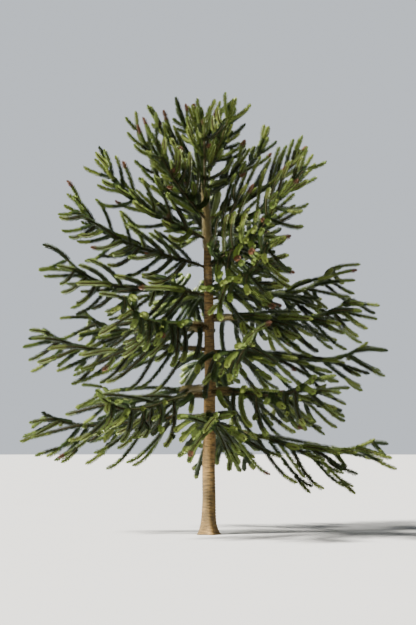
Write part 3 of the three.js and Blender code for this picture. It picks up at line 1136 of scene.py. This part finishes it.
def bark_material(name, colour, furrow):
    """Dry, wrinkled bark: streaks that run round in the furrow colour, partly darker bark and
    partly painted shade in the furrows; lighter and darker patches, partly stains and partly
    painted dappled light and shade; and a fine grain.
    """
    material, tree, shader, place = new_material(name)
    shader.inputs["Specular IOR Level"].default_value = BARK_GLOSS
    darker, lighter = np.clip(np.array(colour) * BARK_STAIN_AND_DAPPLE_SHADES, 0, 1)
    grain = noise(tree, place, *BARK_GRAIN)
    # Patches: partly stains, partly painted dappled light and shade on the bark
    base = blend(tree, noise(tree, place, *BARK_STAIN_AND_DAPPLE_PATCHES), darker, lighter)
    # Streaks of the furrow colour: partly darker bark, partly painted shade in the furrows
    shade = blend(tree, noise(tree, place, *BARK_FURROW_SHADE_STREAKS), furrow, base)
    tree.links.new(blend(tree, grain, furrow, shade), shader.inputs["Base Color"])
    tree.links.new(between(tree, grain, *BARK_ROUGHNESS), shader.inputs["Roughness"])
    bumped(tree, shader, grain, *BARK_BUMP)
    return material


def floor_material(colour):
    material, tree, shader, place = new_material("floor")
    shader.inputs["Roughness"].default_value = FLOOR_ROUGHNESS
    darker = np.array(colour) * FLOOR_SHADE
    shade = blend(tree, noise(tree, place, *FLOOR_NOISE), darker, colour)
    tree.links.new(shade, shader.inputs["Base Color"])
    return material


# Operators

def dress(piece, slot_name, *nodes):
    """Attaches a piece to the root body and hides the solids that it stands for; slot_name is not
    used.
    """
    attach(piece, "root")
    if nodes:
        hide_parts(*nodes)


def nodes_of(kind, low=1, high=WHORL_COUNT):
    """The names of the solids of a kind on a band of whorls."""
    names = [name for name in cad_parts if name.startswith(f"{kind}_")]
    return sorted(name for name in names if low <= int(name.split("_")[1]) <= high)


def leaf_inputs(leaf, material):
    """What the leafy tree is given, by the names of its inputs."""
    settings = bpy.context.scene.puzzle_leaves
    return {
        "Leaf": leaf,
        "Spacing": settings.spacing,
        "Spiral Turn": settings.spiral,
        "Bud Wood": FINE_WOOD[1] * BUD_WOOD_SHARE,
        "Open Wood": FINE_WOOD[1],
        "Bud Size": settings.bud_size,
        "Closed Lean": settings.closed_lean,
        "Open Lean": settings.open_lean,
        "Size Chance": settings.size_chance,
        "Lean Chance": settings.lean_chance,
        "Seed": settings.seed,
        "Material": material,
    }


class PUZZLE_OT_trunk(bpy.types.Operator):
    """Make the trunk's bark, from the flat cut at the ground to its tip"""

    bl_idname = "puzzle.trunk"
    bl_label = "Trunk Bark"

    def execute(self, context):
        colours = context.scene.puzzle_colours
        piece = ring_mesh("trunk_bark", trunk_rings())
        piece.data.materials.append(bark_material("trunk_bark", colours.bark, colours.bark_dark))
        dress(piece, "bark", "trunk")
        return {"FINISHED"}


class PUZZLE_OT_boughs(bpy.types.Operator):
    """Make the bark of the bare inner boughs, darkened from the trunk's as painted shade of the
    crown
    """

    bl_idname = "puzzle.boughs"
    bl_label = "Bough Bark"

    def execute(self, context):
        colours = context.scene.puzzle_colours
        limbs, _ = grow()
        bare = [limb for limb in limbs if limb.start]
        boughs = [ring_mesh(f"bough_{i}", bough_rings(limb, i)) for i, limb in enumerate(bare)]
        piece = joined("bough_bark", boughs)
        # The trunk's bark colour darkened: painted shade of the crown over the boughs
        shade = np.array(colours.bark) * BOUGH_PAINTED_SHADE
        piece.data.materials.append(bark_material("bough_bark", shade, colours.bark_dark))
        dress(piece, "bough", *nodes_of("bough"))
        return {"FINISHED"}


class PUZZLE_OT_shoot_wood(bpy.types.Operator):
    """Make the green wood inside the leafy shoots"""

    bl_idname = "puzzle.shoot_wood"
    bl_label = "Shoot Wood"

    def execute(self, context):
        _, shoots = grow()
        stretches = [stretch(shoot, 0, shoot.length) for shoot in [*shoots, leader_shoot()]]
        colours = context.scene.puzzle_colours
        material = bark_material("shoot_wood", colours.twig, colours.bark_dark)
        inputs = {"Sides": SHOOT_WOOD_SIDES, "Material": material}
        dress(grown_piece("shoot_wood", stretches, wood_tree(), inputs), "bough")
        return {"FINISHED"}


class PUZZLE_OT_leaves(bpy.types.Operator):
    """Make the leaves of all shoots, in pieces by tint and by band of whorls"""

    bl_idname = "puzzle.leaves"
    bl_label = "Leaves"

    def execute(self, context):
        colours = context.scene.puzzle_colours
        leaf = leaf_object()
        materials = {tint: leaf_material(f"leaf_{tint}", getattr(colours, tint)) for tint in TINTS}
        for (tint, band), stretches in dealt_out().items():
            if not stretches:
                continue
            inputs = leaf_inputs(leaf, materials[tint])
            piece = grown_piece(f"leaves_{tint}_{band}", stretches, leafy_tree(), inputs)
            stands_for = nodes_of("foliage", *BANDS[band]) if tint == "deep" else []
            if tint == "fresh" and band == "high":
                stands_for = ["leader"]
            dress(piece, "foliage", *stands_for)
        bpy.data.objects.remove(leaf)
        return {"FINISHED"}


class PUZZLE_OT_old_leaves(bpy.types.Operator):
    """Make the dry old leaves that stay on the trunk and the boughs"""

    bl_idname = "puzzle.old_leaves"
    bl_label = "Old Leaves"

    def execute(self, context):
        leaf = leaf_object(OLD_LEAF_STRETCH)
        material = leaf_material("old_leaf", context.scene.puzzle_colours.old)
        heights = np.linspace(OLD_TRUNK_FROM, TRUNK_TOP, OLD_TRUNK_POINTS)
        trunk = [(trunk_centre(heights), trunk_radius(heights, 0))]
        boughs = []
        limbs, _ = grow()
        for limb in limbs:
            if limb.start:
                shares = np.linspace(limb.start * OLD_BOUGH_FROM, limb.start, OLD_BOUGH_POINTS)
                wood = mix(*BOUGH_RADII, shares / limb.start) * BOUGH_BARK_SHARE
                boughs.append((limb.line.at(shares), wood))
        kinds = {
            "old_leaves_trunk": (trunk, OLD_TRUNK_SPACING, OLD_TRUNK_LEAN),
            "old_leaves_boughs": (boughs, OLD_BOUGH_SPACING, OLD_BOUGH_LEAN),
        }
        for name, (stretches, spacing, lean) in kinds.items():
            inputs = leaf_inputs(leaf, material)
            inputs |= {"Spacing": spacing, "Open Lean": math.radians(lean)}
            dress(grown_piece(name, stretches, leafy_tree(), inputs), "bough")
        bpy.data.objects.remove(leaf)
        return {"FINISHED"}


class PUZZLE_OT_stage(bpy.types.Operator):
    """Set the pale floor, the soft light and the camera at the photograph's viewing angle"""

    bl_idname = "puzzle.stage"
    bl_label = "Stage"

    def execute(self, context):
        settings = context.scene.puzzle_stage
        bpy.ops.mesh.primitive_circle_add(
            vertices=FLOOR_SIDES, radius=FLOOR_RADIUS, fill_type="NGON"
        )
        floor = context.object
        floor.name = "floor"
        floor.location.z = -FLOOR_DROP
        floor.data.materials.append(floor_material(settings.floor))
        self.light(context, settings)
        view = bpy.data.cameras.new("camera")
        view.lens = settings.lens
        view.clip_end = CLIP_END
        camera = new_object("camera", view)
        camera.location = (0, -settings.distance, settings.eye_height)
        rise = settings.aim_height - settings.eye_height
        camera.rotation_euler = (math.pi / 2 + math.atan2(rise, settings.distance), 0, 0)
        context.scene.camera = camera
        return {"FINISHED"}

    def light(self, context, settings):
        """A wide key light from the front left, and an even light from all round."""
        key = bpy.data.lights.new("key", "SUN")
        key.energy = settings.sun
        key.angle = math.radians(KEY_WIDTH)
        key.color = KEY_COLOUR
        lamp = new_object("key", key)
        lamp.rotation_euler = [math.radians(angle) for angle in KEY_TURN]
        world = bpy.data.worlds.new("studio")
        world.use_nodes = True
        tree = world.node_tree
        sky = next(item for item in tree.nodes if item.type == "BACKGROUND")
        sky.inputs["Color"].default_value = SKY_COLOUR
        seen = node(tree, "ShaderNodeLightPath").outputs["Is Camera Ray"]
        feeds = {"Value": seen, "To Min": settings.fill, "To Max": settings.backdrop}
        strength = node(tree, "ShaderNodeMapRange", feeds).outputs["Result"]
        tree.links.new(strength, sky.inputs["Strength"])
        context.scene.world = world


class PUZZLE_PT_tree(bpy.types.Panel):
    """The tree's settings and its operators"""

    bl_idname = "PUZZLE_PT_tree"
    bl_label = "Monkey Puzzle Tree"
    bl_space_type = "VIEW_3D"
    bl_region_type = "UI"
    bl_category = "Monkey Puzzle"

    def draw(self, context):
        for operator in OPERATORS:
            self.layout.operator(operator.bl_idname)
        for name in SETTINGS:
            group = getattr(context.scene, name)
            box = self.layout.box()
            for key in type(group).__annotations__:
                box.prop(group, key)


SETTINGS = {
    "puzzle_leaves": LeafSettings,
    "puzzle_bark": BarkSettings,
    "puzzle_colours": ColourSettings,
    "puzzle_stage": StageSettings,
}
OPERATORS = (
    PUZZLE_OT_trunk,
    PUZZLE_OT_boughs,
    PUZZLE_OT_shoot_wood,
    PUZZLE_OT_leaves,
    PUZZLE_OT_old_leaves,
    PUZZLE_OT_stage,
)


def register():
    for item in (*SETTINGS.values(), *OPERATORS, PUZZLE_PT_tree):
        bpy.utils.register_class(item)
    for name, group in SETTINGS.items():
        setattr(bpy.types.Scene, name, PointerProperty(type=group))


def unregister():
    for name in SETTINGS:
        delattr(bpy.types.Scene, name)
    for item in (PUZZLE_PT_tree, *reversed(OPERATORS), *SETTINGS.values()):
        bpy.utils.unregister_class(item)


def main():
    """Makes every piece in order."""
    register()
    bpy.ops.puzzle.trunk()
    bpy.ops.puzzle.boughs()
    bpy.ops.puzzle.shoot_wood()
    bpy.ops.puzzle.leaves()
    bpy.ops.puzzle.old_leaves()
    bpy.ops.puzzle.stage()


if __name__ == "__main__":
    main()
